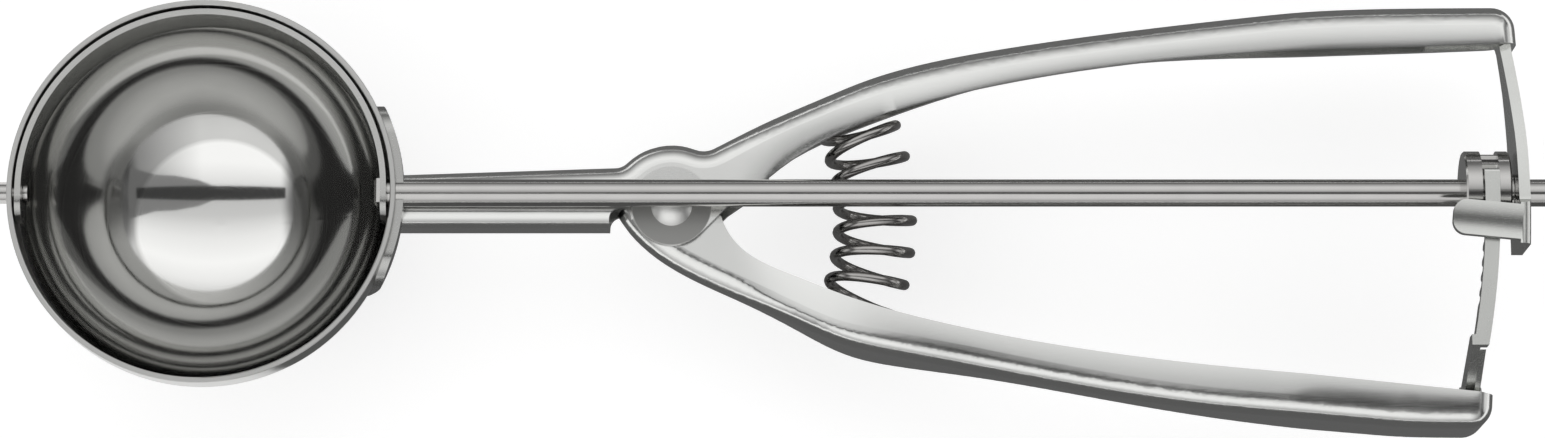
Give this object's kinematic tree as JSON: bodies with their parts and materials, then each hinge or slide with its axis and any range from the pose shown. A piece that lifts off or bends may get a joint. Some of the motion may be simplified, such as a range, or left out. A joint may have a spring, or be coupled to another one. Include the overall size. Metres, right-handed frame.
{
  "type": "lever ice cream scoop",
  "caption": "Stainless portioning scoop: squeezing its two sprung levers drives an arc rack and spindle that turn a scraper through the bowl.",
  "frame": {"origin": "middle of the bowl's mouth, in the plane of its rim", "axes": "+X along the spindle to the lever ends, +Y towards the upper lever, +Z out of the bowl's mouth"},
  "size_m": [0.2237, 0.0613, 0.0365],
  "materials": {
    "bowl_steel": "satin, spun",
    "lever_steel": "polished pressing",
    "strip_steel": "satin strip with bare cut edges",
    "turned_steel": "bright drawn and turned",
    "spring_wire": "bright drawn wire"
  },
  "bodies": {
    "frame": {"bowl": "bowl_steel", "bowl_saddle": "bowl_steel", "handle_frame": "lever_steel", "pivot_rivet": "turned_steel", "pivot_bush": "turned_steel", "end_strap": "strip_steel", "scraper_pin": "turned_steel", "return_spring": "spring_wire"},
    "lever": {"squeeze_lever": "lever_steel", "rack": "strip_steel", "rack_lug": "strip_steel", "rack_rivet": "turned_steel"},
    "spindle": {"spindle_rod": "turned_steel", "pinion_barrel": "turned_steel", "scraper_blade": "strip_steel"}
  },
  "joints": [
    {"name": "lever_squeeze", "type": "hinge", "parent": "frame", "child": "lever", "pos_m": [0.067, -0.0011, -0.011], "axis": [0, 0, 1], "range_deg": [0, 7.2], "stiffness_Nm_per_rad": 1.57, "springref_deg": -10.31, "deforming": ["return_spring"]},
    {"name": "spindle_turn", "type": "hinge", "parent": "frame", "child": "spindle", "pos_m": [0, 0, -0.0025], "axis": [1, 0, 0], "range_deg": [-172, 0.5]}
  ],
  "couplings": [
    {"joint": "spindle_turn", "follows": "lever_squeeze", "ratio": -23.796}
  ]
}
